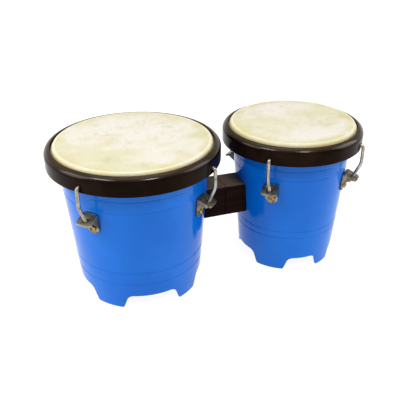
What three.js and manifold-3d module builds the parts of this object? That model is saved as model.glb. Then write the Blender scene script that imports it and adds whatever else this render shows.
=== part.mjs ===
// A pair of small hand drums, one larger than the other, bolted side by side to a centre block.
// Millimetres, Z up. The origin is on the floor under the middle of the pair, the large drum at -X.
import * as THREE from "three";
import { mergeVertices } from "three/addons/utils/BufferGeometryUtils.js";
import Module from "manifold-3d";

const wasm = await Module();
wasm.setup();

// Each drum: outer radius of the shell at its bearing edge and at the floor, height of the skin's
// top face, how far the rim's top lies below that, the heights of the grooves round the shell, the
// height of the notches between its feet, the two feet at -Y, which the two at +Y mirror: angle
// from +X in degrees, width at the notches' height and width on the floor, and the angles of its
// four tuning points from +X in degrees.
const drums = {
  large: {
    topRadius: 74.3, floorRadius: 61.7, skinTop: 154.6, rimDrop: 1.3,
    grooves: [30, 43.6, 111.8, 124.4],
    notchHeight: 15.3, feet: [[-134, 42, 30], [-55, 36, 24]],
    tuningPoints: [45, 137, 223, 315],
  },
  small: {
    topRadius: 62.9, floorRadius: 51.6, skinTop: 152, rimDrop: 2.3,
    grooves: [41.5, 49, 110.5, 121],
    notchHeight: 14.6, feet: [[-134, 41, 31], [-63, 30, 20]],
    tuningPoints: [45, 133, 227, 315],
  },
};
const rimSpacing = 12; // between the two rims, where they come closest
const gap = 0.3; // left between faces that touch

const wall = 4; // shell
const grooveWidth = 1.8;
const grooveDepth = 0.6;
const edgeRound = 1.2; // bottom edge of the feet and both sides of the bearing edge
const notchCorner = 5;

const skin = 1.2; // head
const headRound = 2.4;
const collarDepth = 11.5;

const hoop = 4.1; // flesh hoop with the skin's tucked edge, square section
const hoopPlay = 0.45;
const skirt = 3.2; // rim
const rimHeight = 17.9;
const rimRound = 6.1;
const lip = 3.5;
const rimTighten = 1.5; // travel of the rim down and up from rest
const rimLoosen = 3;

const wire = 3.4; // tuning hooks
const hookLean = THREE.MathUtils.degToRad(24);
const hookBend = 3.2; // centreline radius of the tight bend at the rim
const hookSweep = 18; // and of the gentle one above the lug
const hookStraight = 20; // rim hole to the gentle bend
const flangeBelowHole = 35.6;
const hookClear = 0.3;
const tipBeyondSkirt = 0.6;
const holeBelowHoop = 2.6;

const sheet = 1.5; // lugs
const flangeWidth = 16;
const flangeReach = 6.3;
const flangeCorner = 4;
const lugHeight = 18;
const webClear = 1.2;
const rodHoleClear = 0.5;

const nutAcross = 7; // M4 hex nuts
const nutHeight = 3.2;
const screwRadius = 1.95;
const screwHeadRadius = 3.6;
const screwHeadHeight = 2.2;
const screwBeyondNut = 1.2;
const recessWidth = 0.9;
const recessDepth = 1.1;

const blockDepth = 29.6; // centre block
const blockBottom = 61.2;
const blockTop = 95.4;
const blockChamfer = 1.5;
const boltRadius = 2.95; // M6 tie bolts through the block and both shells
const boltInset = 8.6;
const boltHeadAcross = 10;
const boltHeadHeight = 4;
const boltNutHeight = 5;
const boltBeyondNut = 1.5;
const saddleDepth = 24;
const saddleThickness = 5;

const roundSegments = 40;

// Sizes that follow from the ones above.
const shellClear = gap + skin + hoopPlay + hoop + hoopPlay + skirt;
const holeHeight = rimHeight - lip - gap - hoop - holeBelowHoop - wire / 2; // above the rim's edge
const standOff = wire / 2 + rimTighten * Math.tan(hookLean) + hookClear; // hook wire from the rim
const rodBelowFlange = sheet / 2 + gap + nutHeight + rimLoosen / Math.cos(hookLean) + 0.4;
const nutCorner = nutAcross / Math.sqrt(3);
const legWidth = 2 * (nutCorner + webClear + sheet);
const blockMiddle = (blockBottom + blockTop) / 2;

function finishDrum(drum) {
  const shellTop = drum.skinTop - skin - gap;
  const rimRadius = drum.topRadius + shellClear;
  const rimBottom = drum.skinTop - drum.rimDrop - rimHeight;
  const hookHole = rimBottom + holeHeight;
  const flangeHeight = hookHole - flangeBelowHole;
  const hookAngles = drum.tuningPoints.map(THREE.MathUtils.degToRad);
  return { ...drum, shellTop, rimRadius, rimBottom, hookHole, flangeHeight, hookAngles };
}
const large = finishDrum(drums.large);
const small = finishDrum(drums.small);
const spacing = large.rimRadius + rimSpacing + small.rimRadius;
large.x = -(spacing + small.rimRadius - large.rimRadius) / 2;
small.x = large.x + spacing;

const slope = (drum) => (drum.topRadius - drum.floorRadius) / drum.shellTop;
const wallRadius = (drum, height) => drum.floorRadius + slope(drum) * height;

// ---- solids ----

function lathe(profile, segments = roundSegments) {
  const points = profile.map(([radius, height]) => new THREE.Vector2(radius, height));
  return new THREE.LatheGeometry(points, segments).rotateX(Math.PI / 2).rotateZ(Math.PI / 2);
}

function closed(profile) {
  return [...profile, profile[0]];
}

// Points of an arc in a profile, angles in degrees.
function arc(radius, height, size, from, to, steps) {
  return Array.from({ length: steps + 1 }, (_, i) => {
    const angle = THREE.MathUtils.degToRad(from + ((to - from) * i) / steps);
    return [radius + size * Math.cos(angle), height + size * Math.sin(angle)];
  });
}

function solid(geometry) {
  const bare = geometry.clone();
  bare.deleteAttribute("normal");
  bare.deleteAttribute("uv");
  const merged = mergeVertices(bare, 1e-4);
  return new wasm.Manifold(
    new wasm.Mesh({
      numProp: 3,
      vertProperties: new Float32Array(merged.attributes.position.array),
      triVerts: new Uint32Array(merged.index.array),
    }),
  );
}

function geometryOf(manifold) {
  const mesh = manifold.getMesh();
  const geometry = new THREE.BufferGeometry();
  geometry.setAttribute("position", new THREE.BufferAttribute(new Float32Array(mesh.vertProperties), 3));
  geometry.setIndex(new THREE.BufferAttribute(new Uint32Array(mesh.triVerts), 1));
  return geometry;
}

function cut(geometry, ...tools) {
  return geometryOf(tools.reduce((rest, tool) => rest.subtract(solid(tool)), solid(geometry)));
}

function join(...pieces) {
  return geometryOf(pieces.map(solid).reduce((sum, piece) => sum.add(piece)));
}

function polygon(points) {
  return new THREE.Shape(points.map(([x, y]) => new THREE.Vector2(x, y)));
}

function extrude(shape, depth, curveSegments = 4) {
  return new THREE.ExtrudeGeometry(shape, { depth, curveSegments, bevelEnabled: false });
}

// Moves a geometry so that its own X, Y and Z run along the three directions, from the origin given.
function lay(geometry, origin, xAxis, yAxis) {
  const zAxis = new THREE.Vector3().crossVectors(xAxis, yAxis);
  return geometry.applyMatrix4(new THREE.Matrix4().makeBasis(xAxis, yAxis, zAxis).setPosition(origin));
}

// A round bar along +X from one place to another.
function barAlongX(radius, from, to, height, segments = 12) {
  return new THREE.CylinderGeometry(radius, radius, to - from, segments)
    .rotateZ(Math.PI / 2)
    .translate((from + to) / 2, 0, height);
}

function hexShape(across, boreRadius) {
  const corner = across / Math.sqrt(3);
  const shape = polygon(
    Array.from({ length: 6 }, (_, i) => [
      corner * Math.cos((i * Math.PI) / 3), corner * Math.sin((i * Math.PI) / 3),
    ]),
  );
  if (boreRadius) shape.holes.push(new THREE.Path().absarc(0, 0, boreRadius, 0, 2 * Math.PI, true));
  return shape;
}

// ---- shell, head, hoop and rim of one drum, on its own axis ----

function groove(drum, height) {
  const half = grooveWidth / 2;
  return [
    [wallRadius(drum, height - half), height - half],
    [wallRadius(drum, height) - grooveDepth, height],
    [wallRadius(drum, height + half), height + half],
  ];
}

// All four feet in order round the shell, angles in radians.
function feetOf(drum) {
  const front = drum.feet.map(([angle, top, floor]) => ({
    angle: THREE.MathUtils.degToRad(angle), top, floor,
  }));
  return [...front, ...front.map((foot) => ({ ...foot, angle: -foot.angle })).reverse()];
}

// What is cut away between one foot and the next round the shell.
function notchTool(drum, before, after) {
  const height = drum.notchHeight;
  const below = -5;
  const apart = (after.angle - before.angle + 2 * Math.PI) % (2 * Math.PI);
  const halfWidth = (footWidth, level) => {
    const radius = wallRadius(drum, level);
    return radius * Math.sin(apart / 2 - Math.asin(footWidth / 2 / radius));
  };
  const side = (foot) => {
    const top = halfWidth(foot.top, height);
    const floor = halfWidth(foot.floor, 0);
    return { top, at: (level) => floor + ((top - floor) * level) / height };
  };
  const near = side(before);
  const far = side(after);
  const shape = new THREE.Shape();
  shape.moveTo(-near.at(below), below);
  shape.lineTo(far.at(below), below);
  shape.lineTo(far.at(height - notchCorner), height - notchCorner);
  shape.quadraticCurveTo(far.top, height, far.top - notchCorner, height);
  shape.lineTo(notchCorner - near.top, height);
  shape.quadraticCurveTo(-near.top, height, -near.at(height - notchCorner), height - notchCorner);
  const inside = drum.floorRadius / 2;
  const tool = extrude(shape, drum.floorRadius);
  const across = new THREE.Vector3(0, 1, 0);
  return lay(tool, new THREE.Vector3(inside, 0, 0), across, new THREE.Vector3(0, 0, 1))
    .rotateZ(before.angle + apart / 2);
}

function shellGeometry(drum, blockSide) {
  const inner = (height) => wallRadius(drum, height) - wall;
  const top = drum.shellTop;
  const profile = [
    [inner(0), 0],
    ...arc(wallRadius(drum, edgeRound) - edgeRound, edgeRound, edgeRound, -90, 0, 2),
    ...drum.grooves.flatMap((height) => groove(drum, height)),
    ...arc(wallRadius(drum, top - edgeRound) - edgeRound, top - edgeRound, edgeRound, 0, 90, 2),
    ...arc(inner(top - edgeRound) + edgeRound, top - edgeRound, edgeRound, 90, 180, 2),
  ];
  const screwHoles = drum.hookAngles.map((angle) =>
    barAlongX(screwRadius + gap, inner(0), drum.topRadius + wall, screwHeight(drum)).rotateZ(angle));
  const boltHoles = boltHeights().map((height) =>
    barAlongX(boltRadius + gap, inner(0) - wall, drum.topRadius + wall, height)
      .rotateZ(blockSide > 0 ? 0 : Math.PI));
  const feet = feetOf(drum);
  const notches = feet.map((foot, i) => notchTool(drum, foot, feet[(i + 1) % feet.length]));
  return cut(lathe(closed(profile)), ...notches, ...screwHoles, ...boltHoles);
}

function headGeometry(drum) {
  const inner = drum.topRadius + gap;
  const outer = inner + skin;
  const under = drum.skinTop - skin;
  const bottom = under - collarDepth;
  return lathe([
    [0, under],
    ...arc(inner - edgeRound, under - edgeRound, edgeRound, 90, 0, 2),
    [inner, bottom],
    [outer, bottom],
    ...arc(outer - headRound, drum.skinTop - headRound, headRound, 0, 90, 3),
    [0, drum.skinTop],
  ]);
}

function fleshHoopGeometry(drum) {
  const inner = drum.topRadius + gap + skin + hoopPlay;
  const top = drum.rimBottom + rimHeight - lip - gap;
  const corner = hoop / 4;
  return lathe(closed([
    [inner, top - hoop + corner], [inner + corner, top - hoop],
    [inner + hoop - corner, top - hoop], [inner + hoop, top - hoop + corner],
    [inner + hoop, top - corner], [inner + hoop - corner, top],
    [inner + corner, top], [inner, top - corner],
  ]));
}

function rimGeometry(drum) {
  const { rimRadius, rimBottom } = drum;
  const top = rimBottom + rimHeight;
  const lipInner = rimRadius - rimRound;
  const ring = lathe(closed([
    [rimRadius - skirt, rimBottom],
    [rimRadius - 0.8, rimBottom],
    [rimRadius, rimBottom + 0.8],
    ...arc(rimRadius - rimRound, top - rimRound, rimRound, 0, 80, 4),
    [lipInner, top - 0.4],
    [lipInner, top - lip],
    [rimRadius - skirt, top - lip],
  ]));
  const holes = drum.hookAngles.map((angle) =>
    barAlongX(wire / 2 + gap, lipInner - 1, rimRadius + wall, drum.hookHole, 10).rotateZ(angle));
  return cut(ring, ...holes);
}

// ---- hook, lug, nuts and screw of one tuning point, in the drum's radial plane (X out, Z up) ----

const at = (radius, height) => new THREE.Vector3(radius, 0, height);
const tangent = new THREE.Vector3(0, 1, 0);
const rodUp = at(Math.sin(hookLean), Math.cos(hookLean));
const flangeIn = at(-Math.cos(hookLean), Math.sin(hookLean));

// Where the rod's centreline passes the middle of the lug's flange.
function rodAtFlange(drum) {
  const lean = (flangeBelowHole - hookStraight) * Math.tan(hookLean);
  return at(drum.rimRadius + standOff - lean, drum.flangeHeight);
}

function screwHeight(drum) {
  return drum.flangeHeight - lugHeight + legWidth / 2;
}

// A wire's path: straight runs between the corners, each corner rounded to its radius.
function wirePath(corners, radii) {
  const path = new THREE.CurvePath();
  let start = corners[0];
  for (let i = 1; i < corners.length - 1; i++) {
    const before = corners[i - 1].clone().sub(corners[i]).normalize();
    const after = corners[i + 1].clone().sub(corners[i]).normalize();
    const setBack = radii[i - 1] / Math.tan(before.angleTo(after) / 2);
    const entry = corners[i].clone().addScaledVector(before, setBack);
    const exit = corners[i].clone().addScaledVector(after, setBack);
    path.add(new THREE.LineCurve3(start, entry));
    path.add(new THREE.QuadraticBezierCurve3(entry, corners[i], exit));
    start = exit;
  }
  path.add(new THREE.LineCurve3(start, corners[corners.length - 1]));
  return path;
}

function hookGeometry(drum) {
  const run = drum.rimRadius + standOff;
  const corners = [
    at(drum.rimRadius - skirt - tipBeyondSkirt, drum.hookHole),
    at(run, drum.hookHole),
    at(run, drum.hookHole - hookStraight),
    rodAtFlange(drum).addScaledVector(rodUp, -rodBelowFlange),
  ];
  const section = new THREE.Shape().absarc(0, 0, wire / 2, 0, 2 * Math.PI);
  const extrudePath = wirePath(corners, [hookBend, hookSweep]);
  return new THREE.ExtrudeGeometry(section, { steps: 20, curveSegments: 4, extrudePath });
}

function lugGeometry(drum) {
  const tilt = Math.atan(slope(drum));
  const up = at(Math.sin(tilt), Math.cos(tilt));
  const out = at(Math.cos(tilt), -Math.sin(tilt));
  const bottom = drum.flangeHeight - lugHeight;
  const foot = at(wallRadius(drum, bottom), bottom);
  const rod = rodAtFlange(drum);
  const middle = foot.clone().addScaledVector(out, gap + sheet / 2);
  const inward = middle.clone().sub(rod).dot(out) / flangeIn.dot(out);
  const corner = rod.clone().addScaledVector(flangeIn, inward);
  const legLength = corner.clone().sub(middle).dot(up);
  const half = legWidth / 2;

  const legShape = new THREE.Shape();
  legShape.moveTo(half, half);
  legShape.lineTo(half, legLength);
  legShape.lineTo(-half, legLength);
  legShape.lineTo(-half, half);
  legShape.absarc(0, half, half, Math.PI, 2 * Math.PI);
  const leg = lay(extrude(legShape, sheet), foot.clone().addScaledVector(out, gap), tangent, up);

  const flangeShape = new THREE.Shape();
  const side = flangeWidth / 2;
  flangeShape.moveTo(-half, inward);
  flangeShape.lineTo(-side, inward - sheet);
  flangeShape.lineTo(-side, flangeCorner - flangeReach);
  flangeShape.quadraticCurveTo(-side, -flangeReach, flangeCorner - side, -flangeReach);
  flangeShape.lineTo(side - flangeCorner, -flangeReach);
  flangeShape.quadraticCurveTo(side, -flangeReach, side, flangeCorner - flangeReach);
  flangeShape.lineTo(side, inward - sheet);
  flangeShape.lineTo(half, inward);
  flangeShape.holes.push(
    new THREE.Path().absarc(0, 0, wire / 2 + rodHoleClear, 0, 2 * Math.PI, true));
  const flangeFrom = rod.clone().addScaledVector(rodUp, -sheet / 2);
  const flange = lay(extrude(flangeShape, sheet), flangeFrom, tangent, flangeIn);

  const webFoot = middle.clone().addScaledVector(up, half);
  const webTip = rod.clone().addScaledVector(flangeIn, flangeCorner - flangeReach);
  const webBelly = webFoot.clone().lerp(webTip, 0.5).addScaledVector(out, -sheet);
  const webShape = polygon([webFoot, webBelly, webTip, corner].map((point) => [point.x, point.z]));
  const webs = [half, sheet - half].map((edge) =>
    lay(extrude(webShape, sheet), new THREE.Vector3(0, edge, 0), at(1, 0), at(0, 1)));

  const screwHole = barAlongX(
    screwRadius + gap, drum.floorRadius, drum.topRadius + wall, screwHeight(drum));
  return cut(join(leg, flange, ...webs), screwHole);
}

function tuningNutGeometry(drum) {
  const from = rodAtFlange(drum).addScaledVector(rodUp, -(sheet / 2 + gap + nutHeight));
  return lay(extrude(hexShape(nutAcross, wire / 2 + gap), nutHeight, 5), from, tangent, flangeIn);
}

// Outer face of the lug's leg and inner face of the shell, where the screw passes them.
function screwSeats(drum) {
  const height = screwHeight(drum);
  const outside = wallRadius(drum, height) + gap + sheet + slope(drum) * screwHeadRadius + gap;
  const inside = wallRadius(drum, height) - wall - slope(drum) * nutCorner - gap;
  return { height, outside, inside };
}

function screwGeometry(drum) {
  const { height, outside, inside } = screwSeats(drum);
  const end = inside - gap - nutHeight - screwBeyondNut;
  const top = outside + screwHeadHeight;
  const body = new THREE.LatheGeometry([
    new THREE.Vector2(0, end), new THREE.Vector2(screwRadius, end),
    new THREE.Vector2(screwRadius, outside), new THREE.Vector2(screwHeadRadius, outside),
    new THREE.Vector2(screwHeadRadius, outside + screwHeadHeight / 2),
    new THREE.Vector2(screwHeadRadius * 0.7, top), new THREE.Vector2(0, top),
  ], 12).rotateZ(-Math.PI / 2).translate(0, 0, height);
  const across = screwHeadRadius * 1.1;
  const recess = [[recessWidth, across], [across, recessWidth]].map(([wide, tall]) =>
    new THREE.BoxGeometry(recessDepth * 2, wide, tall).translate(top, 0, height));
  return cut(body, ...recess);
}

function screwNutGeometry(drum) {
  const { height, inside } = screwSeats(drum);
  const nut = extrude(hexShape(nutAcross, screwRadius + gap), nutHeight, 5);
  return lay(nut, at(inside - gap - nutHeight, height), tangent, at(0, 1));
}

// ---- centre block and what ties it to the shells, in the frame of the pair ----

function boltHeights() {
  return [blockBottom + boltInset, blockTop - boltInset];
}

// A cone standing on a drum's axis, its surface at a distance outside the shell's outer face.
function coneOf(drum, offset) {
  const radius = (height) => wallRadius(drum, height) + offset;
  return lathe([[0, 0], [radius(0), 0], [radius(drum.shellTop), drum.shellTop], [0, drum.shellTop]])
    .translate(drum.x, 0, 0);
}

const seam = (large.x + wallRadius(large, blockMiddle) + small.x - wallRadius(small, blockMiddle)) / 2;

// A bar of the block's section with chamfered edges, between two places along X.
function blockBar(from, to, depth, bottom, top) {
  const side = depth / 2;
  const c = blockChamfer;
  const shape = polygon([
    [c - side, bottom], [side - c, bottom], [side, bottom + c], [side, top - c],
    [side - c, top], [c - side, top], [-side, top - c], [-side, bottom + c],
  ]);
  return lay(extrude(shape, to - from), at(from, 0), tangent, at(0, 1));
}

function boltHoles(from, to) {
  return boltHeights().map((height) => barAlongX(boltRadius + gap, from, to, height));
}

function blockHalfGeometry(drum) {
  const towards = Math.sign(seam - drum.x);
  const face = seam - (towards * gap) / 2;
  const [from, to] = towards > 0 ? [drum.x, face] : [face, drum.x];
  const bar = blockBar(from, to, blockDepth, blockBottom, blockTop);
  return cut(bar, coneOf(drum, gap), ...boltHoles(from - 1, to + 1));
}

// The flat face that a bolt's head or nut bears on, inside a shell.
function saddleFace(drum) {
  const towards = Math.sign(seam - drum.x);
  return drum.x + towards * (wallRadius(drum, blockBottom) - wall - gap - saddleThickness);
}

function saddleGeometry(drum) {
  const towards = Math.sign(seam - drum.x);
  const face = saddleFace(drum);
  const beyond = face + towards * saddleThickness * 3;
  const [from, to] = towards > 0 ? [face, beyond] : [beyond, face];
  const bar = blockBar(from, to, saddleDepth, blockBottom, blockTop);
  const fitted = geometryOf(solid(bar).intersect(solid(coneOf(drum, -wall - gap))));
  return cut(fitted, ...boltHoles(from - 1, to + 1));
}

function boltGeometry(height) {
  const head = saddleFace(large) - gap;
  const end = saddleFace(small) + gap + boltNutHeight + boltBeyondNut;
  const hex = lay(
    extrude(hexShape(boltHeadAcross), boltHeadHeight), at(head - boltHeadHeight, height), tangent, at(0, 1));
  return join(hex, barAlongX(boltRadius, head - boltHeadHeight / 2, end, height));
}

function boltNutGeometry(height) {
  const nut = extrude(hexShape(boltHeadAcross, boltRadius + gap), boltNutHeight, 5);
  return lay(nut, at(saddleFace(small) + gap, height), tangent, at(0, 1));
}

// ---- the assembly ----

const blue = { color: 0x2068d8, roughness: 0.25, metalness: 0 };
const cream = { color: 0xece6c8, roughness: 0.6, metalness: 0 };
const black = { color: 0x1c1410, roughness: 0.4, metalness: 0.1 };
const steel = { color: 0xa8a49a, roughness: 0.35, metalness: 0.9 };
const brass = { color: 0x9c8862, roughness: 0.4, metalness: 0.9 };
const darkWood = { color: 0x1e1612, roughness: 0.6, metalness: 0 };

function add(parent, name, geometry, look) {
  const mesh = new THREE.Mesh(geometry, new THREE.MeshStandardMaterial(look));
  mesh.name = name;
  parent.add(mesh);
}

function addDrum(parent, name, drum) {
  const group = new THREE.Group();
  group.position.x = drum.x;
  parent.add(group);
  add(group, `${name}_shell`, shellGeometry(drum, seam - drum.x), blue);
  add(group, `${name}_head`, headGeometry(drum), cream);
  add(group, `${name}_flesh_hoop`, fleshHoopGeometry(drum), cream);
  add(group, `${name}_rim`, rimGeometry(drum), black);
  drum.hookAngles.forEach((angle, i) => {
    const point = new THREE.Group();
    point.rotation.z = angle;
    group.add(point);
    add(point, `${name}_tuning_hook_${i + 1}`, hookGeometry(drum), steel);
    add(point, `${name}_lug_${i + 1}`, lugGeometry(drum), steel);
    add(point, `${name}_tuning_nut_${i + 1}`, tuningNutGeometry(drum), brass);
    add(point, `${name}_lug_screw_${i + 1}`, screwGeometry(drum), brass);
    add(point, `${name}_lug_screw_nut_${i + 1}`, screwNutGeometry(drum), steel);
  });
}

function addBlock(parent) {
  add(parent, "large_block_half", blockHalfGeometry(large), darkWood);
  add(parent, "small_block_half", blockHalfGeometry(small), darkWood);
  add(parent, "large_bolt_saddle", saddleGeometry(large), darkWood);
  add(parent, "small_bolt_saddle", saddleGeometry(small), darkWood);
  boltHeights().forEach((height, i) => {
    add(parent, `tie_bolt_${i + 1}`, boltGeometry(height), steel);
    add(parent, `tie_bolt_nut_${i + 1}`, boltNutGeometry(height), steel);
  });
}

const pair = new THREE.Group();
addDrum(pair, "large", large);
addDrum(pair, "small", small);
addBlock(pair);

export default pair;
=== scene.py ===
import math
import bpy
import bmesh
from mathutils import Matrix, Vector, noise


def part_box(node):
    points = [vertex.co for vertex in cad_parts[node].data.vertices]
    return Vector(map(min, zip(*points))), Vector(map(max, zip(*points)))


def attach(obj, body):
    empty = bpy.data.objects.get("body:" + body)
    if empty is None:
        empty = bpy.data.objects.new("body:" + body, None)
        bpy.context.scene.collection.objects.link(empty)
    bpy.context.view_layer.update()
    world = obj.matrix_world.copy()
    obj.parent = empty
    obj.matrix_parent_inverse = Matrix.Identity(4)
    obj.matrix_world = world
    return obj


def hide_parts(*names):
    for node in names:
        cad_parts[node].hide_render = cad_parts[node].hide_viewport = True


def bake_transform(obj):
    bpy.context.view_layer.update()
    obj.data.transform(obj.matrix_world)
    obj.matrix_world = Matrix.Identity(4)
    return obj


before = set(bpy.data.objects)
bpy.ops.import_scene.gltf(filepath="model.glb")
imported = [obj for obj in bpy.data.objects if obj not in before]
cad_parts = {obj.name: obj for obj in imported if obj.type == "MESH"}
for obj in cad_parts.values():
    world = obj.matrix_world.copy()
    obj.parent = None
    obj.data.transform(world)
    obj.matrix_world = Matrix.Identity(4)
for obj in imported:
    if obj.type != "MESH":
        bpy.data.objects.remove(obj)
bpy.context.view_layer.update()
mm = 0.001
print("frame loaded:", len(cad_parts), "nodes")

# the two drums, in millimetres on their own axes, as the frame has them
drums = {
    "large": dict(topRadius=74.3, floorRadius=61.7, skinTop=154.6, rimDrop=1.3, notchHeight=15.3,
                  grooves=(30, 43.6, 111.8, 124.4), angles=(45, 137, 223, 315),
                  feet=((-134, 42, 30), (-55, 36, 24), (55, 36, 24), (134, 42, 30))),
    "small": dict(topRadius=62.9, floorRadius=51.6, skinTop=152.0, rimDrop=2.3, notchHeight=14.6,
                  grooves=(41.5, 49, 110.5, 121), angles=(45, 133, 227, 315),
                  feet=((-134, 41, 31), (-63, 30, 20), (63, 30, 20), (134, 41, 31))),
}  # a foot: its angle in degrees, its width at the notches' height and on the floor
shared = dict(skinGap=1.5, rimOut=9.7, rimHeight=17.9, holeUp=5.7, flangeDown=35.6,
              hookStraight=20, standOff=2.668, lean=math.radians(24), wire=1.7, lugHeight=18,
              wall=4.0, skirt=3.2, gap=0.3, sheet=1.5, webClear=1.2, nutAcross=7.0, nutHigh=3.2)

for drumName, d in drums.items():
    low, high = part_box(drumName + "_shell")
    d["x"] = (low[0] + high[0]) / 2 / mm
    d["shellTop"] = d["skinTop"] - shared["skinGap"]
    d["slope"] = (d["topRadius"] - d["floorRadius"]) / d["shellTop"]
    d["rimRadius"] = d["topRadius"] + shared["rimOut"]
    d["rimBottom"] = d["skinTop"] - d["rimDrop"] - shared["rimHeight"]
    d["hole"] = d["rimBottom"] + shared["holeUp"]
    d["flange"] = d["hole"] - shared["flangeDown"]
    d["rim"] = drumName + "_rim_ring"
    d["tuning"] = [math.radians(angle) for angle in d["angles"]]


def wallRadius(d, z):
    return d["floorRadius"] + d["slope"] * z


# materials: a socket that sums can be written on, and one way to make any node

class Wire:
    def __init__(self, tree, socket):
        self.tree = tree
        self.socket = socket

    def node(self, kind, settings=None, inputs=None, out=0):
        made = self.tree.nodes.new(kind)
        for name, value in (settings or {}).items():
            if name == "stops":
                setStops(made.color_ramp, value)
            else:
                setattr(made, name, value)
        for name, value in (inputs or {}).items():
            if isinstance(value, Wire):
                self.tree.links.new(value.socket, made.inputs[name])
            else:
                made.inputs[name].default_value = value
        return Wire(self.tree, made.outputs[out])

    def calc(self, operation, *values):
        return self.node("ShaderNodeMath", {"operation": operation}, dict(enumerate(values)))

    def __add__(self, other):
        return self.calc("ADD", self, other)

    def __sub__(self, other):
        return self.calc("SUBTRACT", self, other)

    def __rsub__(self, other):
        return self.calc("SUBTRACT", other, self)

    def __mul__(self, other):
        return self.calc("MULTIPLY", self, other)

    def __truediv__(self, other):
        return self.calc("DIVIDE", self, other)

    def __pow__(self, other):
        return self.calc("POWER", self, other)

    __radd__ = __add__
    __rmul__ = __mul__

    def between(self, low, high):  # 0 at low, 1 at high, smooth
        return self.node("ShaderNodeMapRange", {"interpolation_type": "SMOOTHSTEP"},
                         {"Value": self, "From Min": low, "From Max": high})

    def mix(self, first, second):  # this mask picks the second colour where it is 1
        return self.node("ShaderNodeMix", {"data_type": "RGBA"}, {0: self, 6: first, 7: second}, 2)

    def noise(self, scale, detail=3.0, roughness=0.55, stretch=(1, 1, 1)):
        place = self.node("ShaderNodeVectorMath", {"operation": "MULTIPLY"}, {0: self, 1: stretch})
        return self.node("ShaderNodeTexNoise", None,
                         {"Vector": place, "Scale": scale, "Detail": detail, "Roughness": roughness})

    def bump(self, strength, distance, under=None):
        sockets = {"Height": self, "Strength": strength, "Distance": distance}
        if under:
            sockets["Normal"] = under
        return self.node("ShaderNodeBump", None, sockets)


def setStops(ramp, stops):
    while len(ramp.elements) > 1:
        ramp.elements.remove(ramp.elements[0])
    for i, (place, colour) in enumerate(stops):
        element = ramp.elements[0] if i == 0 else ramp.elements.new(place)
        element.position = place
        element.color = colour


def rgb(red, green, blue):  # screen values 0..255 to linear colour
    return tuple(((c / 255 + 0.055) / 1.055) ** 2.4 if c > 10 else c / 255 / 12.92
                 for c in (red, green, blue)) + (1.0,)


def newMaterial(name, build, **fixed):
    made = bpy.data.materials.new(name)
    made.use_nodes = True
    tree = made.node_tree
    shader = tree.nodes["Principled BSDF"]
    for socket, value in fixed.items():
        shader.inputs[socket.replace("_", " ")].default_value = value
    place = Wire(tree, tree.nodes.new("ShaderNodeTexCoord").outputs["Object"])
    for socket, wire in build(place).items():
        tree.links.new(wire.socket, shader.inputs[socket])
    return made


def axisParts(place):  # x, y, z of a place, each a wire
    return [place.node("ShaderNodeSeparateXYZ", None, {"Vector": place}, axis) for axis in range(3)]


paint = dict(deep=rgb(0, 91, 184), pale=rgb(6, 100, 194), inside=rgb(10, 50, 116),
             paler=rgb(110, 150, 214), rough=0.07, uneven=0.08, wear=0.4, wornTo=0.022)


def bluePaint(place):
    p = paint
    height = axisParts(place)[2]
    tone = place.noise(14, 4).between(0.35, 0.7)
    orangePeel = place.noise(900, 1.5)
    ripple = place.noise(55, 2)
    scuffs = place.noise(260, 3, 0.7, (1, 1, 0.08)).between(0.64, 0.76)
    nearFloor = 1 - height.between(0.0, p["wornTo"])
    wear = scuffs * nearFloor * p["wear"]
    colour = wear.mix(tone.mix(p["deep"], p["pale"]), p["paler"])
    rough = p["rough"] + place.noise(38, 4).between(0.4, 0.8) * p["uneven"] + wear * p["wear"]
    normal = orangePeel.bump(0.05, 0.0004, ripple.bump(0.06, 0.002))
    return {"Base Color": colour, "Roughness": rough, "Normal": normal}


def shellInside(place):
    mottle = place.noise(60, 5, 0.6)
    rings = place.noise(30, 3, 0.6, (0.1, 0.1, 18))
    colour = mottle.between(0.3, 0.75).mix(paint["inside"], paint["deep"])
    return {"Base Color": colour, "Roughness": 0.5 + mottle * 0.25,
            "Normal": (rings * 0.6 + mottle * 0.4).bump(0.25, 0.0006)}


# tucked: dirt and painted shade where the hide runs under the rim
hide = dict(pale=rgb(214, 209, 199), warm=rgb(203, 198, 168), tan=rgb(178, 172, 118),
            edge=rgb(236, 231, 210), fibre=rgb(194, 187, 148), band=rgb(196, 188, 138),
            tucked=rgb(150, 128, 84), rough=0.5, patchy=0.45, flecked=0.32, fibrous=0.35,
            stainAndShadeShare=0.8, pores=0.16, relief=0.22)


def hideSkin(d):
    def build(place):
        h = hide
        x, y, z = axisParts(place)
        fromAxis = x - d["x"] * mm
        out = (fromAxis * fromAxis + y * y) ** 0.5 / (d["topRadius"] * mm)
        clouds = place.noise(16, 5, 0.6, (1, 1.3, 1))
        patches = place.noise(38, 6, 0.68)
        flecks = place.noise(340, 4, 0.7)
        fibres = place.noise(230, 4, 0.6, (1, 0.22, 1))
        pores = place.noise(1500, 2, 0.5)
        colour = clouds.between(0.42, 0.66).mix(h["pale"], h["warm"])
        colour = (patches.between(0.5, 0.7) * h["patchy"]).mix(colour, h["tan"])
        colour = (flecks.between(0.52, 0.7) * h["flecked"]).mix(colour, h["tan"])
        colour = (fibres.between(0.55, 0.75) * h["fibrous"]).mix(colour, h["fibre"])
        band = out.between(0.8, 0.965) * patches.between(0.3, 0.62) * h["stainAndShadeShare"]
        colour = band.mix(colour, h["band"])
        crest = out.between(0.976, 0.988) * (1 - out.between(0.994, 1.006))
        colour = (crest * (0.2 + clouds * 0.7)).mix(colour, h["edge"])
        # painted shade, partly dirt: the hide below the crest, running under the rim, is darkened to tan
        # as the shade between head and rim
        below = 1 - z.between((d["skinTop"] - 2.7) * mm, (d["skinTop"] - 0.5) * mm)
        colour = (below * h["stainAndShadeShare"]).mix(colour, h["tucked"])
        rough = h["rough"] + clouds * 0.2 + fibres.between(0.5, 0.8) * 0.12
        normal = pores.bump(h["pores"], 0.0002, (fibres * 0.5 + patches).bump(h["relief"], 0.0005))
        return {"Base Color": colour, "Roughness": rough, "Normal": normal}
    return build


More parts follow.
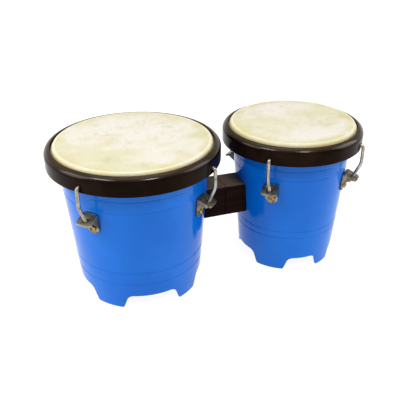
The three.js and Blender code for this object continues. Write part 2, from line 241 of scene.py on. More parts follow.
def facingUp(place, low, high):  # 1 where a surface faces up: the mask for painted top sheen (with some dust on the rim) and for the rim's polished coat
    normal = place.node("ShaderNodeNewGeometry", None, None, "Normal")
    return axisParts(normal)[2].between(low, high)


# paler: on the rim, painted sheen mixed with dust on the rounded top
rimCoat = dict(dark=rgb(13, 5, 3), brown=rgb(27, 15, 9), worn=rgb(70, 52, 36),
               paler=rgb(62, 48, 33), rough=0.1, rubbed=0.3, coat=0.42)


def darkCoat(place):
    c = rimCoat
    speck = place.noise(420, 3, 0.6)
    cloud = place.noise(30, 4)
    rubbed = place.noise(140, 5, 0.7).between(0.66, 0.75)
    colour = cloud.between(0.35, 0.7).mix(c["dark"], c["brown"])
    # painted sheen, partly dust: up-facing surfaces get a paler brown that stands in for light falling on
    # the rounded top
    colour = (facingUp(place, 0.45, 0.95) * (0.35 + cloud * 0.7)).mix(colour, c["paler"])
    colour = (rubbed * c["rubbed"]).mix(colour, c["worn"])
    rough = c["rough"] + speck * 0.08 + cloud.between(0.4, 0.8) * 0.06
    handled = facingUp(place, 0.3, 0.7)  # hands polish the rounded top
    return {"Base Color": colour, "Roughness": rough, "Coat Weight": handled * c["coat"],
            "Normal": speck.bump(0.05, 0.0002)}


plate = dict(bright=rgb(172, 166, 150), dull=rgb(112, 103, 84), rust=rgb(84, 56, 30),
             sheet=rgb(150, 142, 124), stained=rgb(92, 82, 62),
             yellow=rgb(176, 142, 82), amber=rgb(92, 62, 30), rodRough=0.2, sheetRough=0.3,
             zincRough=0.24)


def nickel(place):
    tarnish = place.noise(200, 5, 0.65).between(0.4, 0.8)
    spots = place.noise(520, 4, 0.6).between(0.62, 0.72)
    colour = (spots * 0.7).mix(tarnish.mix(plate["bright"], plate["dull"]), plate["rust"])
    rough = plate["rodRough"] + tarnish * 0.22 + spots * 0.3
    return {"Base Color": colour, "Roughness": rough, "Metallic": 1 - spots * 0.6,
            "Normal": place.noise(900, 3).bump(0.14, 0.0002)}


def dullSheet(place):  # the lugs: pressed sheet, greyer and rougher than the rods
    tarnish = place.noise(180, 5, 0.65).between(0.4, 0.68)
    grime = place.noise(420, 4, 0.65).between(0.52, 0.68)
    colour = (grime * 0.75).mix(tarnish.mix(plate["sheet"], plate["stained"]), plate["rust"])
    rough = plate["sheetRough"] + tarnish * 0.2 + grime * 0.2
    return {"Base Color": colour, "Roughness": rough, "Metallic": 1 - grime * 0.5,
            "Normal": place.noise(600, 4).bump(0.25, 0.0003)}


def yellowZinc(place):
    tarnish = place.noise(300, 5, 0.65).between(0.4, 0.68)
    grime = place.noise(700, 4, 0.6).between(0.6, 0.7)
    colour = (grime * 0.6).mix(tarnish.mix(plate["yellow"], plate["dull"]), plate["amber"])
    rough = plate["zincRough"] + tarnish * 0.25 + grime * 0.25
    return {"Base Color": colour, "Roughness": rough,
            "Normal": place.noise(1100, 3).bump(0.12, 0.0002)}


# paler and paintedSheen: painted sheen, the block's top made paler brown-grey as if lit from above
timber = dict(dark=rgb(12, 4, 3), brown=rgb(26, 13, 9), grey=rgb(40, 30, 24), paler=rgb(104, 88, 74),
              rough=0.34, paintedSheen=0.75, faded=0.25, relief=0.3)


def stainedWood(place):
    t = timber
    grain = place.noise(150, 6, 0.62, (0.16, 1, 1))
    bands = place.noise(24, 3, 0.6, (0.3, 1.2, 2.4))
    pores = place.noise(900, 3, 0.6, (0.1, 1, 1)).between(0.6, 0.72)
    colour = grain.between(0.35, 0.72).mix(t["dark"], t["brown"])
    colour = (bands.between(0.5, 0.75) * t["faded"]).mix(colour, t["grey"])
    # painted sheen: up-facing surfaces turn paler brown-grey, standing in for light falling on the top
    colour = (facingUp(place, 0.5, 0.9) * (t["paintedSheen"] + grain * 0.5)).mix(colour, t["paler"])
    rough = t["rough"] + grain * 0.3 + pores * 0.2
    return {"Base Color": colour, "Roughness": rough,
            "Normal": (pores * -0.6 + grain * 0.5).bump(t["relief"], 0.0004)}


softSkin = dict(Subsurface_Weight=0.12, Subsurface_Scale=0.002, Specular_IOR_Level=0.3)
finish = {
    "shell": newMaterial("bluePaint", bluePaint, IOR=1.29),
    "inside": newMaterial("shellInside", shellInside, IOR=1.36),
    "largeHead": newMaterial("largeHide", hideSkin(drums["large"]), **softSkin),
    "smallHead": newMaterial("smallHide", hideSkin(drums["small"]), **softSkin),
    "rim": newMaterial("darkCoat", darkCoat, Specular_IOR_Level=0.05, Coat_Roughness=0.2,
                       Specular_Tint=rgb(255, 226, 196)),
    "steel": newMaterial("nickel", nickel),
    "lug": newMaterial("dullSheet", dullSheet),
    "brass": newMaterial("yellowZinc", yellowZinc, Metallic=1.0),
    "block": newMaterial("stainedWood", stainedWood, Specular_IOR_Level=0.035,
                         Specular_Tint=rgb(255, 226, 200)),
}
print("materials:", len(finish))


# meshes, in millimetres on a drum's axis, moved into the frame at the end

def meshPiece(name, points, faces, materials, place=Matrix.Identity(4), sharpAngle=35):
    data = bpy.data.meshes.new(name)
    data.from_pydata([place @ (Vector(p) * mm) for p in points], [], faces)
    data.validate()
    bm = bmesh.new()
    bm.from_mesh(data)
    bmesh.ops.recalc_face_normals(bm, faces=bm.faces)
    bm.to_mesh(data)
    bm.free()
    for material in materials:
        data.materials.append(material)
    data.shade_smooth()
    data.set_sharp_from_angle(angle=math.radians(sharpAngle))
    piece = bpy.data.objects.new(name, data)
    bpy.context.scene.collection.objects.link(piece)
    return piece


def strips(rings, closeRings=False):
    # quads between rings of the same length; a ring of one point closes to a fan
    points, starts, faces = [], [], []
    for ring in rings:
        starts.append(len(points))
        points.extend(ring)
    pairs = list(zip(range(len(rings)), range(1, len(rings))))
    if closeRings:
        pairs.append((len(rings) - 1, 0))
    for low, high in pairs:
        size = max(len(rings[low]), len(rings[high]))
        for i in range(size):
            j = (i + 1) % size
            a = [starts[low] + (k if len(rings[low]) > 1 else 0) for k in (i, j)]
            b = [starts[high] + (k if len(rings[high]) > 1 else 0) for k in (i, j)]
            face = [a[0], a[1], b[1], b[0]]
            faces.append([v for n, v in enumerate(face) if v not in face[:n]])
    return points, faces


def turned(name, profile, material, segments=192, ripple=None, **more):
    # a closed outline of (radius, height) spun round the axis
    rings = []
    for radius, height in profile:
        if radius < 1e-6:
            rings.append([(0, 0, height)])
            continue
        ring = []
        for i in range(segments):
            angle = 2 * math.pi * i / segments
            r, z = ripple(radius, height, angle) if ripple else (radius, height)
            ring.append((r * math.cos(angle), r * math.sin(angle), z))
        rings.append(ring)
    closes = profile[0][0] > 1e-6
    points, faces = strips(rings, closeRings=closes)
    return meshPiece(name, points, faces, [material], **more)


def arc(centre, radius, fromAngle, toAngle, steps):
    angles = [math.radians(fromAngle + (toAngle - fromAngle) * i / steps) for i in range(steps + 1)]
    return [(centre[0] + radius * math.cos(a), centre[1] + radius * math.sin(a)) for a in angles]


def smoothPath(points, steps):
    # a curve through the points
    ends = [points[0]] + list(points) + [points[-1]]
    path = []
    for i in range(1, len(ends) - 2):
        p0, p1, p2, p3 = (Vector(p) for p in ends[i - 1:i + 3])
        for k in range(steps):
            t = k / steps
            path.append(0.5 * (2 * p1 + (p2 - p0) * t + (2 * p0 - 5 * p1 + 4 * p2 - p3) * t * t
                               + (3 * p1 - p0 - 3 * p2 + p3) * t ** 3))
    path.append(Vector(points[-1]))
    return path


def thicken(path, thickness):
    # both sides of a path in (radius, height), as one closed outline
    left, right = [], []
    for i, p in enumerate(path):
        along = (path[min(i + 1, len(path) - 1)] - path[max(i - 1, 0)]).normalized()
        side = Vector((-along.y, along.x)) * thickness / 2
        left.append(tuple(p + side))
        right.append(tuple(p - side))
    return left, right


def onDrum(d, angle=0.0):
    return Matrix.Translation((d["x"] * mm, 0, 0)) @ Matrix.Rotation(angle, 4, "Z")


def settle(piece, body, slot, *nodes):
    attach(piece, body)
    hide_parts(*nodes)


def cutAway(piece, tools):
    for tool in tools:
        step = piece.modifiers.new("cut", "BOOLEAN")
        step.object = tool
        step.solver = "EXACT"
        bpy.context.view_layer.objects.active = piece
        bpy.ops.object.modifier_apply(modifier=step.name)
    for tool in tools:
        bpy.data.objects.remove(tool)


# shells: a wall of even thickness whose lower edge follows the feet and notches

shellStyle = dict(notchCorner=5.0, footCorner=2.0, edge=1.1, bearing=1.2, ringsFrom=20.0, rows=16,
                  grooveDepth=0.38, grooveHalf=0.9, grooveRoom=2.5, footSteps=12,
                  grooveRows=5, grooveShape=0.8, sideShares=(0.28, 0.4, 0.52),
                  innerShares=(0.75, 0.5, 0.25), outerShares=(0.12, 0.3, 0.5, 0.75), curveSteps=5,
                  sharp=50)


def bend(p, q, r, t):
    return tuple((1 - t) ** 2 * a + 2 * t * (1 - t) * b + t * t * c for a, b, c in zip(p, q, r))


def notchSide(d, apart, foot):
    # half of a notch's outline, from the floor beside a foot up and in to the notch's middle
    s = shellStyle
    high, corner, toe = d["notchHeight"], s["notchCorner"], s["footCorner"]

    def halfWidth(width, z):
        radius = wallRadius(d, z)
        return radius * math.sin(apart / 2 - math.asin(width / 2 / radius))

    topHalf, floorHalf = halfWidth(foot[1], high), halfWidth(foot[2], 0)

    def side(z):
        return floorHalf + (topHalf - floorHalf) * z / high

    line = [bend((floorHalf + toe, 0), (floorHalf, 0), (side(toe), toe), t / 6) for t in range(7)]
    line += [(side(high * share), high * share) for share in s["sideShares"]]
    below = (side(high - corner), high - corner)
    line += [bend(below, (topHalf, high), (topHalf - corner, high), t / 8) for t in range(9)]
    return line + [((topHalf - corner) * (1 - t / 8), high) for t in range(1, 8)]


def lowerEdge(d):
    # [outer angle, inner angle, height, inward direction] along the edge, once round the shell
    wall, feet = shared["wall"], d["feet"]
    notches = []
    for foot, after in zip(feet, feet[1:] + feet[:1]):
        apart = math.radians((after[0] - foot[0]) % 360)
        middle = math.radians(foot[0]) + apart / 2
        outline = [(-y, z) for y, z in notchSide(d, apart, foot)] + [(0, d["notchHeight"])]
        outline += notchSide(d, apart, after)[::-1]
        notches.append([[middle + math.asin(y / wallRadius(d, z)),
                         middle + math.asin(y / (wallRadius(d, z) - wall)), z] for y, z in outline])
    columns, footSteps = [], shellStyle["footSteps"]
    for notch, following in zip(notches, notches[1:] + notches[:1]):
        columns += notch
        last, first = notch[-1], following[0]
        whole = 2 * math.pi if first[0] < last[0] else 0.0
        for k in range(1, footSteps):
            share = k / footSteps
            columns.append([last[i] + (first[i] + whole - last[i]) * share for i in (0, 1)] + [0.0])
    count = len(columns)
    for i, column in enumerate(columns):
        before, after = columns[i - 1], columns[(i + 1) % count]
        radius = wallRadius(d, column[2])
        turnBy = (after[0] - before[0] + math.pi) % (2 * math.pi) - math.pi
        along = Vector((turnBy * radius, after[2] - before[2])).normalized()
        column.append(Vector((-along.y / radius, along.x)))
    return columns


def shellHeights(d, bottom):
    # row heights above the feet, close together where a groove runs
    s = shellStyle
    rows = {bottom + (d["shellTop"] - bottom) * i / s["rows"] for i in range(s["rows"] + 1)}
    rows = {z for z in rows if all(abs(z - g) > s["grooveRoom"] for g in d["grooves"])}
    half = s["grooveHalf"]
    for g in d["grooves"]:
        rows |= {g + half * k / s["grooveRows"] for k in range(-7, 8)}
    return sorted(z for z in rows if z < d["shellTop"] - s["bearing"])


def grooveDip(d, z):
    s = shellStyle
    dip = 0.0
    for g in d["grooves"]:
        away = abs(z - g) / s["grooveHalf"]
        if away < 1:
            dip = s["grooveDepth"] * (0.5 + 0.5 * math.cos(math.pi * away)) ** s["grooveShape"]
    return dip


def makeShell(name, d):
    s = shellStyle
    wall, edge, above = shared["wall"], s["edge"], s["ringsFrom"]
    columns = lowerEdge(d)
    heights = shellHeights(d, above)

    def ring(inset, drop, height=None, share=None, dip=0.0):
        made = []
        for outerAngle, innerAngle, z, inward in columns:
            angle = outerAngle + (innerAngle - outerAngle) * inset / wall + inward.x * drop
            low = z + inward.y * drop
            at = height if share is None else low + (above - low) * share
            at = low if at is None else at
            radius = wallRadius(d, at) - inset - dip
            made.append((radius * math.cos(angle), radius * math.sin(angle), at))
        return made

    steps = s["curveSteps"]
    curve = [math.radians(90 * k / steps) for k in range(steps + 1)]
    inner = [ring(wall, edge, height=z) for z in reversed(heights[::3])]
    inner += [ring(wall, edge, share=t) for t in s["innerShares"]]
    under = [ring(wall - edge * (1 - math.cos(a)), edge * (1 - math.sin(a))) for a in curve]
    under += [ring(edge * (1 - math.cos(a)), edge * (1 - math.sin(a))) for a in reversed(curve)]
    outer = [ring(0, edge, share=t) for t in s["outerShares"]]
    outer += [ring(0, edge, height=z, dip=grooveDip(d, z)) for z in heights]
    top, b = d["shellTop"], s["bearing"]
    bearing = [ring(b * (1 - math.cos(a)), edge, height=top - b + b * math.sin(a)) for a in curve]
    bearing += [ring(wall - b * (1 - math.cos(a)), edge, height=top - b + b * math.sin(a))
                for a in reversed(curve)]
    rings = inner + under + outer + bearing
    points, faces = strips(rings, closeRings=True)
    skins = [finish["shell"], finish["inside"]]
    piece = meshPiece(name + "Shell", points, faces, skins, onDrum(d), s["sharp"])
    insideFaces = len(columns) * (len(inner) + 2)
    for face in piece.data.polygons:
        if face.index < insideFaces or face.index >= len(faces) - len(columns) * 3:
            face.material_index = 1
    settle(piece, "frame", "shell", name + "_shell")


# heads: one hide, over the shell's edge and round the hoop under the rim

headStyle = dict(thick=1.0, stretched=0.92, edgeRound=1.7, crestIn=0.55, slopeOut=1.95, slopeDown=2.6,
                 hoopOut=4.05, hoopDown=5.85, hoopRadius=1.05, wrap=1.6, pleats=46, pleatDepth=0.09,
                 pleatsFrom=1.2, pleatsOver=2.0, pleatWander=6, unevenness=0.09, segments=224,
                 hoopSegments=160,
                 shares=(0, 0.12, 0.25, 0.4, 0.55, 0.7, 0.82, 0.9, 0.95))


def makeHead(name, d):
    s = headStyle
    edge, top = d["topRadius"], d["skinTop"] - s["thick"] / 2
    hoopMiddle = (edge + s["hoopOut"], d["rimBottom"] + shared["rimHeight"] - s["hoopDown"])
    membrane = [(edge * t, top) for t in s["shares"]]
    rounding = arc((edge - s["crestIn"], top - s["edgeRound"]), s["edgeRound"], 88, 38, 6)
    wrap = arc(hoopMiddle, s["wrap"], 100, -190, 20)
    slope = [(edge + s["slopeOut"], top - s["slopeDown"])]
    path = [Vector(p) for p in membrane] + smoothPath(rounding + slope + wrap, 3)
    left, right = thicken(path, s["thick"] * s["stretched"])
    left[0], right[0] = (0, left[0][1]), (0, right[0][1])

    def ripple(radius, height, angle):
        out = radius / edge
        wave = noise.noise(Vector((math.cos(angle) * 2.2, math.sin(angle) * 2.2, 4.0)))
        pleat = math.sin(angle * s["pleats"] + wave * s["pleatWander"]) * s["pleatDepth"]
        fall = (top - s["pleatsFrom"] - height) / s["pleatsOver"]
        down = max(0.0, min(1.0, fall)) if out > 1 else 0.0
        soft = noise.noise(Vector((math.cos(angle) * out * 3, math.sin(angle) * out * 3, 1.5)))
        uneven = soft * s["unevenness"] * (1 - down) * min(1.0, out * 1.4)
        return radius + pleat * down, height + uneven

    head = turned(name + "Head", left[::-1] + right, finish[name + "Head"], s["segments"], ripple,
                  place=onDrum(d), sharpAngle=60)
    (hoopMiddle[1] + 1.4) * mm
    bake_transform(head)
    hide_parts(name + "_head")
    hoop = turned(name + "FleshHoop", arc(hoopMiddle, s["hoopRadius"], 0, 345, 23), finish["steel"],
                  s["hoopSegments"], place=onDrum(d))
    settle(hoop, d["rim"], "head", name + "_flesh_hoop")


# rims: a thick skirt, rounded over the top, with a hole for each hook

rimStyle = dict(roundTop=6.1, lip=3.5, lipRound=0.5, foot=0.8, inside=1.2, drillPlay=0.3,
                mouthPlay=0.9, drillFrom=-5, drillBack=-8, mouthFrom=4.4, mouthTo=5.2, drillTo=9,
                crestDrop=0.12, outerRings=(3, 6, 9), innerRings=(8, 5), segments=208,
                drillSegments=28, sharp=40)


def makeRim(name, d):
    s = rimStyle
    r, low = d["rimRadius"], d["rimBottom"]
    top = low + shared["rimHeight"]
    inner = r - shared["skirt"]
    lipInner = r - s["roundTop"]
    f, k = s["foot"], s["lipRound"]
    outline = arc((r - f, low + f), f, -90, 0, 4) + [(r, low + up) for up in s["outerRings"]]
    outline += arc((r - s["roundTop"], top - s["roundTop"]), s["roundTop"], 0, 84, 14)
    outline += arc((lipInner + k, top - k - s["crestDrop"]), k, 84, 180, 5)
    outline += arc((lipInner + k, top - s["lip"] + k), k, 180, 270, 4)
    outline += arc((inner - s["inside"], top - s["lip"] - s["inside"]), s["inside"], 90, 0, 4)
    outline += [(inner, low + up) for up in s["innerRings"]]
    outline += arc((inner + k, low + k), k, 180, 270, 3)
    rim = turned(name + "Rim", outline, finish["rim"], s["segments"], place=onDrum(d),
                 sharpAngle=s["sharp"])
    bore, mouth = shared["wire"] + s["drillPlay"], shared["wire"] + s["mouthPlay"]
    profile = [(0, s["drillBack"]), (bore, s["drillBack"]), (bore, s["mouthFrom"]),
               (mouth, s["mouthTo"]), (mouth, s["drillTo"]), (0, s["drillTo"])]
    drills = []
    for angle in d["tuning"]:
        drill = turned("drill", profile, finish["rim"], s["drillSegments"])
        start = Matrix.Translation(((r + s["drillFrom"]) * mm, 0, d["hole"] * mm))
        drill.data.transform(onDrum(d, angle) @ start @ Matrix.Rotation(math.pi / 2, 4, "Y"))
        drills.append(drill)
    cutAway(rim, drills)
    rim.data.set_sharp_from_angle(angle=math.radians(s["sharp"]))
    settle(rim, d["rim"], "rim", name + "_rim")


# tuning hooks: a bent rod with a rolled thread on its lower run

hookStyle = dict(tightBend=3.2, sweepBend=18.0, tipIn=0.6, below=7.93, threadLength=17.5,
                 pitch=0.7, threadDepth=0.26, threadSteps=6, threadFade=1.5, sides=18, bevel=0.35,
                 spacing=0.4, plainRings=42, tipRing=0.12, endRing=0.1, sharp=50)


def roundedRoute(corners, radii, spacing):
    # points along straight runs joined by true arcs
    route, start = [], corners[0]
    for corner, radius, after in zip(corners[1:-1], radii, corners[2:]):
        before = (start - corner).normalized()
        beyond = (after - corner).normalized()
        half = before.angle(beyond) / 2
        setBack = radius / math.tan(half)
        entry, leave = corner + before * setBack, corner + beyond * setBack
        centre = corner + (before + beyond).normalized() * radius / math.sin(half)
        run = max(2, round((entry - start).length / spacing))
        route += [start.lerp(entry, i / run) for i in range(run)]
        sweep = math.pi - 2 * half
        bends = max(8, round(sweep * radius / spacing))
        first, last = entry - centre, leave - centre
        for i in range(bends):
            t = i / bends
            arm = first * math.sin((1 - t) * sweep) + last * math.sin(t * sweep)
            route.append(centre + arm / math.sin(sweep))
        start = leave
    run = max(2, round((corners[-1] - start).length / spacing))
    return route + [start.lerp(corners[-1], i / run) for i in range(run + 1)]


def rodAtFlange(d):
    lean = (shared["flangeDown"] - shared["hookStraight"]) * math.tan(shared["lean"])
    return Vector((d["rimRadius"] + shared["standOff"] - lean, 0, d["flange"]))


def rodUp():
    return Vector((math.sin(shared["lean"]), 0, math.cos(shared["lean"])))


def resample(route, places):
    lengths = [0.0]
    for a, b in zip(route, route[1:]):
        lengths.append(lengths[-1] + (b - a).length)
    made, k = [], 0
    for place in places:
        while k < len(lengths) - 2 and lengths[k + 1] < place:
            k += 1
        span = lengths[k + 1] - lengths[k] or 1.0
        made.append(route[k].lerp(route[k + 1], (place - lengths[k]) / span))
    return made, lengths[-1]


def makeHook(name, d, number, angle):
    s = hookStyle
    run = d["rimRadius"] + shared["standOff"]
    tip = d["rimRadius"] - shared["skirt"] - s["tipIn"]
    corners = [Vector((tip, 0, d["hole"])), Vector((run, 0, d["hole"])),
               Vector((run, 0, d["hole"] - shared["hookStraight"])),
               rodAtFlange(d) - rodUp() * s["below"]]
    route = roundedRoute(corners, (s["tightBend"], s["sweepBend"]), s["spacing"])
    total = resample(route, [0.0])[1]
    threadFrom = total - s["threadLength"]
    places = [0, s["tipRing"], s["bevel"]]
    plain = s["plainRings"]
    places += [s["bevel"] + (threadFrom - s["bevel"]) * i / plain for i in range(1, plain)]
    step = s["pitch"] / s["threadSteps"]
    count = int((s["threadLength"] - s["bevel"]) / step)
    places += [threadFrom + step * i for i in range(count)]
    places += [total - s["bevel"], total - s["endRing"], total]
    line, total = resample(route, places)
    rings = [[line[0]]]
    side = Vector((0, 1, 0))
    for i, (centre, place) in enumerate(zip(line, places)):
        along = (line[min(i + 1, len(line) - 1)] - line[max(i - 1, 0)]).normalized()
        across = side.cross(along).normalized()
        nearEnd = min(place, total - place)
        base = shared["wire"] - max(0.0, s["bevel"] - nearEnd)
        fade = max(0.0, min(1.0, (place - threadFrom) / s["threadFade"]))
        ring = []
        for k in range(s["sides"]):
            turn = 2 * math.pi * k / s["sides"]
            phase = ((place - threadFrom) / s["pitch"] - turn / (2 * math.pi)) % 1.0
            groove = (1 - abs(2 * phase - 1)) * s["threadDepth"] * fade
            radius = base - groove
            ring.append(centre + across * math.cos(turn) * radius + side * math.sin(turn) * radius)
        rings.append(ring)
    rings.append([line[-1]])
    points, faces = strips(rings)
    hook = meshPiece(f"{name}Hook{number}", points, faces, [finish["steel"]], onDrum(d, angle),
                     s["sharp"])
    settle(hook, f"{name}_hook_{number}", "steel", f"{name}_tuning_hook_{number}")


# nuts: a hexagon with its corners turned off at both faces

nutStyle = dict(bore=1.75, screwBore=2.0, corner=0.42, samples=72, boreBevel=(0.35, 0.3),
                washer=0.93, edgeRise=0.12, sharp=28)


def hexNut(name, across, high, bore, corner, material, place):
    s = nutStyle
    half, reach = across / 2, across / math.sqrt(3)

    def ring(limit, z):
        made = []
        for i in range(s["samples"]):
            turn = 2 * math.pi * i / s["samples"]
            flat = half / math.cos((turn % (math.pi / 3)) - math.pi / 6)
            r = min(flat, limit)
            made.append((r * math.cos(turn), r * math.sin(turn), z))
        return made

    wide, deep = s["boreBevel"]
    rows = [(bore, deep), (bore + wide, 0), (half * s["washer"], 0), (half, s["edgeRise"]),
            ((half + reach) / 2, corner * 0.55), (reach, corner)]
    rings = [ring(limit, z) for limit, z in rows]
    rings += [ring(limit, high - z) for limit, z in reversed(rows)]
    points, faces = strips(rings, closeRings=True)
    return meshPiece(name, points, faces, [material], place, s["sharp"])


def makeTuningNut(name, d, number, angle):
    s = nutStyle
    low = rodAtFlange(d) - rodUp() * (shared["sheet"] / 2 + shared["gap"] + shared["nutHigh"])
    turn = Matrix.Rotation(shared["lean"], 4, "Y")
    place = onDrum(d, angle) @ Matrix.Translation(low * mm) @ turn @ Matrix.Rotation(math.pi / 6, 4, "Z")
    nut = hexNut(f"{name}Nut{number}", shared["nutAcross"], shared["nutHigh"], s["bore"], s["corner"],
                 finish["brass"], place)
    settle(nut, f"{name}_nut_{number}", "brass", f"{name}_tuning_nut_{number}")


# lug screws: pan head with a cross recess

screwStyle = dict(shank=1.95, head=3.6, high=2.2, beyond=1.2, recess=0.85, deep=1.3, pointBevel=0.4,
                  brim=0.15, brimHigh=0.2, crown=1.4, crownIn=1.5, spinStep=0.35, segments=40, sharp=35)


def screwSpot(d):
    # height of a lug screw's axis, and how far out its head and its nut bear
    nutCorner = shared["nutAcross"] / math.sqrt(3)
    height = d["flange"] - shared["lugHeight"] + nutCorner + shared["webClear"] + shared["sheet"]
    wall = wallRadius(d, height)
    outside = wall + shared["sheet"] + d["slope"] * screwStyle["head"] + 2 * shared["gap"]
    inside = wall - shared["wall"] - d["slope"] * nutCorner - shared["gap"]
    return height, outside, inside


def makeScrew(name, d, number, angle):
    s = screwStyle
    height, outside, inside = screwSpot(d)
    nutFrom = inside - shared["gap"] - shared["nutHigh"]
    end = nutFrom - s["beyond"]
    shank = outside - end
    top = shank + s["high"]
    profile = [(0, 0), (s["shank"] - s["pointBevel"], 0), (s["shank"], s["pointBevel"])]
    profile += [(s["shank"], shank), (s["head"] - s["brim"], shank), (s["head"], shank + s["brimHigh"])]
    profile += arc((s["head"] - s["crownIn"], top - s["crown"]), s["crown"], 5, 80, 6)
    profile += [(s["head"] * 0.3, top), (0, top)]
    screw = turned(f"{name}Screw{number}", profile, finish["brass"], s["segments"])
    blades = []
    for spin in (0, 1):
        size = Vector((s["head"] * 1.05, s["recess"], s["deep"] * 2)) * mm
        blade = bpy.data.meshes.new("blade")
        bm = bmesh.new()
        bmesh.ops.create_cube(bm, size=1.0, matrix=Matrix.Diagonal(size).to_4x4())
        bm.to_mesh(blade)
        bm.free()
        tool = bpy.data.objects.new("blade", blade)
        bpy.context.scene.collection.objects.link(tool)
        blade.transform(Matrix.Translation((0, 0, top * mm))
                        @ Matrix.Rotation(spin * math.pi / 2 + s["spinStep"] * number, 4, "Z"))
        blades.append(tool)
    cutAway(screw, blades)
    screw.data.transform(onDrum(d, angle) @ Matrix.Translation((end * mm, 0, height * mm))
                         @ Matrix.Rotation(math.pi / 2, 4, "Y"))
    screw.data.set_sharp_from_angle(angle=math.radians(s["sharp"]))
    settle(screw, "frame", "brass", f"{name}_lug_screw_{number}")
    place = (onDrum(d, angle) @ Matrix.Translation((nutFrom * mm, 0, height * mm))
             @ Matrix.Rotation(math.pi / 2, 4, "Y") @ Matrix.Rotation(math.pi / 6, 4, "Z"))
    nut = hexNut(f"{name}ScrewNut{number}", shared["nutAcross"], shared["nutHigh"],
                 nutStyle["screwBore"], nutStyle["corner"], finish["steel"], place)
    settle(nut, "frame", "steel", f"{name}_lug_screw_nut_{number}")


# pieces whose frame shape is right: a copy with its edges rounded over

softStyle = dict(weld=1e-6, flatWithin=1, roundOver=28, sharp=42)


def softened(node, width, segments, material, slot):
    s = softStyle
    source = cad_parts[node]
    piece = bpy.data.objects.new(node.title().replace("_", ""), source.data.copy())
    bpy.context.scene.collection.objects.link(piece)
    bm = bmesh.new()
    bm.from_mesh(piece.data)
    bmesh.ops.remove_doubles(bm, verts=bm.verts, dist=s["weld"])
    bmesh.ops.dissolve_limit(bm, angle_limit=math.radians(s["flatWithin"]), verts=bm.verts,
                             edges=bm.edges)
    bm.to_mesh(piece.data)
    bm.free()
    piece.data.materials.clear()
    piece.data.materials.append(material)
    rounding = piece.modifiers.new("edges", "BEVEL")
    rounding.width = width * mm
    rounding.segments = segments
    rounding.limit_method = "ANGLE"
    rounding.angle_limit = math.radians(s["roundOver"])
    rounding.harden_normals = False
    bpy.context.view_layer.objects.active = piece
    bpy.ops.object.modifier_apply(modifier=rounding.name)
    piece.data.shade_smooth()
    piece.data.set_sharp_from_angle(angle=math.radians(s["sharp"]))
    settle(piece, "frame", slot, node)


for drumName, d in drums.items():
    makeShell(drumName, d)
    makeHead(drumName, d)
    makeRim(drumName, d)
    for number, angle in enumerate(d["tuning"], 1):
        makeHook(drumName, d, number, angle)
        makeTuningNut(drumName, d, number, angle)
        makeScrew(drumName, d, number, angle)
        softened(f"{drumName}_lug_{number}", 0.4, 3, finish["lug"], "steel")
    print(drumName, "drum made")

for node in ("large_block_half", "small_block_half"):
    softened(node, 0.5, 3, finish["block"], "block")
for node in ("large_bolt_saddle", "small_bolt_saddle"):
    softened(node, 0.5, 2, finish["block"], "block")
for node in ("tie_bolt_1", "tie_bolt_2", "tie_bolt_nut_1", "tie_bolt_nut_2"):
    softened(node, 0.3, 2, finish["steel"], "steel")
print("block and bolts made")


# floor, light and camera

floorStyle = dict(half=6.0, glow=0.92)  # a little light of its own keeps the sweep pale all over


def paleFloor(place):
    return {"Base Color": place.noise(3, 2).mix(rgb(146, 146, 146), rgb(140, 141, 142))}


def makeFloor():
    size = floorStyle["half"]
    data = bpy.data.meshes.new("floor")
    data.from_pydata([(-size, -size, 0), (size, -size, 0), (size, size, 0), (-size, size, 0)], [],
                     [(0, 1, 2, 3)])
    data.materials.append(newMaterial("paleFloor", paleFloor, Roughness=0.8, Specular_IOR_Level=0.0,
                                      Emission_Color=(1, 1, 1, 1),
                                      Emission_Strength=floorStyle["glow"]))
    floor = bpy.data.objects.new("floor", data)
    bpy.context.scene.collection.objects.link(floor)


lamps = {  # direction from the drums in degrees, distance, size and brightness of the panel
    "leftHigh": dict(turn=-158, rise=50, away=1.3, size=(0.4, 0.13), glow=36),
    "rightHigh": dict(turn=-84, rise=52, away=1.3, size=(0.22, 0.18), glow=42),
    "leftSide": dict(turn=176, rise=25, away=1.4, size=(0.8, 0.9), glow=5.0),
    "rightSide": dict(turn=-15, rise=25, away=1.4, size=(0.9, 0.9), glow=4.2),
    "overhead": dict(turn=90, rise=80, away=1.5, size=(1.1, 1.1), glow=1.1),
}
lampAim = (0, 0, 0.09)
sky = dict(horizon=1.0, overhead=0.28, paleTo=0.12, dimFrom=0.4)  # heights as sines


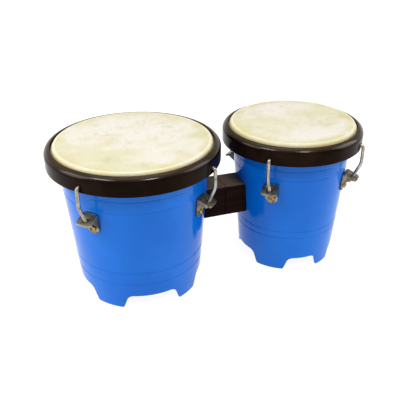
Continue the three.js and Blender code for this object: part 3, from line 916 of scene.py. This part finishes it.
def makeLamps():
    aim = Vector(lampAim)
    for name, lamp in lamps.items():
        turn, rise = math.radians(lamp["turn"]), math.radians(lamp["rise"])
        toward = Vector((math.cos(turn) * math.cos(rise), math.sin(turn) * math.cos(rise), math.sin(rise)))
        data = bpy.data.lights.new(name, "AREA")
        data.shape = "RECTANGLE"
        data.size, data.size_y = lamp["size"]
        data.energy = lamp["glow"] * math.pi * data.size * data.size_y
        light = bpy.data.objects.new(name, data)
        light.location = aim + toward * lamp["away"]
        light.rotation_euler = (-toward).to_track_quat("-Z", "Y").to_euler()
        bpy.context.scene.collection.objects.link(light)
    world = bpy.data.worlds.new("studio")
    world.use_nodes = True
    tree = world.node_tree
    background = tree.nodes["Background"]
    background.inputs["Color"].default_value = (1, 1, 1, 1)
    ray = Wire(tree, tree.nodes.new("ShaderNodeTexCoord").outputs["Generated"])
    dimming = axisParts(ray)[2].between(sky["paleTo"], sky["dimFrom"])
    glow = sky["horizon"] - dimming * (sky["horizon"] - sky["overhead"])
    tree.links.new(glow.socket, background.inputs["Strength"])
    bpy.context.scene.world = world
    bpy.context.scene.view_settings.view_transform = "Standard"


viewpoint = dict(azimuth=-18.87, elevation=28.865, roll=-0.288, lens=50.85, sensor=36,
                 nearest=0.01, place=(-0.1800, -0.5047, 0.3652))


def makeCamera():
    v = viewpoint
    azimuth, elevation, roll = (math.radians(v[k]) for k in ("azimuth", "elevation", "roll"))
    back = Vector((math.sin(azimuth) * math.cos(elevation), -math.cos(azimuth) * math.cos(elevation),
                   math.sin(elevation)))
    right = (-back).cross(Vector((0, 0, 1))).normalized()
    up = right.cross(-back)
    across = right * math.cos(roll) + up * math.sin(roll)
    upright = up * math.cos(roll) - right * math.sin(roll)
    turn = Matrix((across, upright, back)).transposed().to_4x4()
    data = bpy.data.cameras.new("camera")
    data.lens = v["lens"]
    data.sensor_width = v["sensor"]
    data.clip_start = v["nearest"]
    camera = bpy.data.objects.new("camera", data)
    camera.matrix_world = Matrix.Translation(v["place"]) @ turn
    bpy.context.scene.collection.objects.link(camera)
    bpy.context.scene.camera = camera


makeFloor()
makeLamps()
makeCamera()
print("stage set")

bpy.context.view_layer.update()
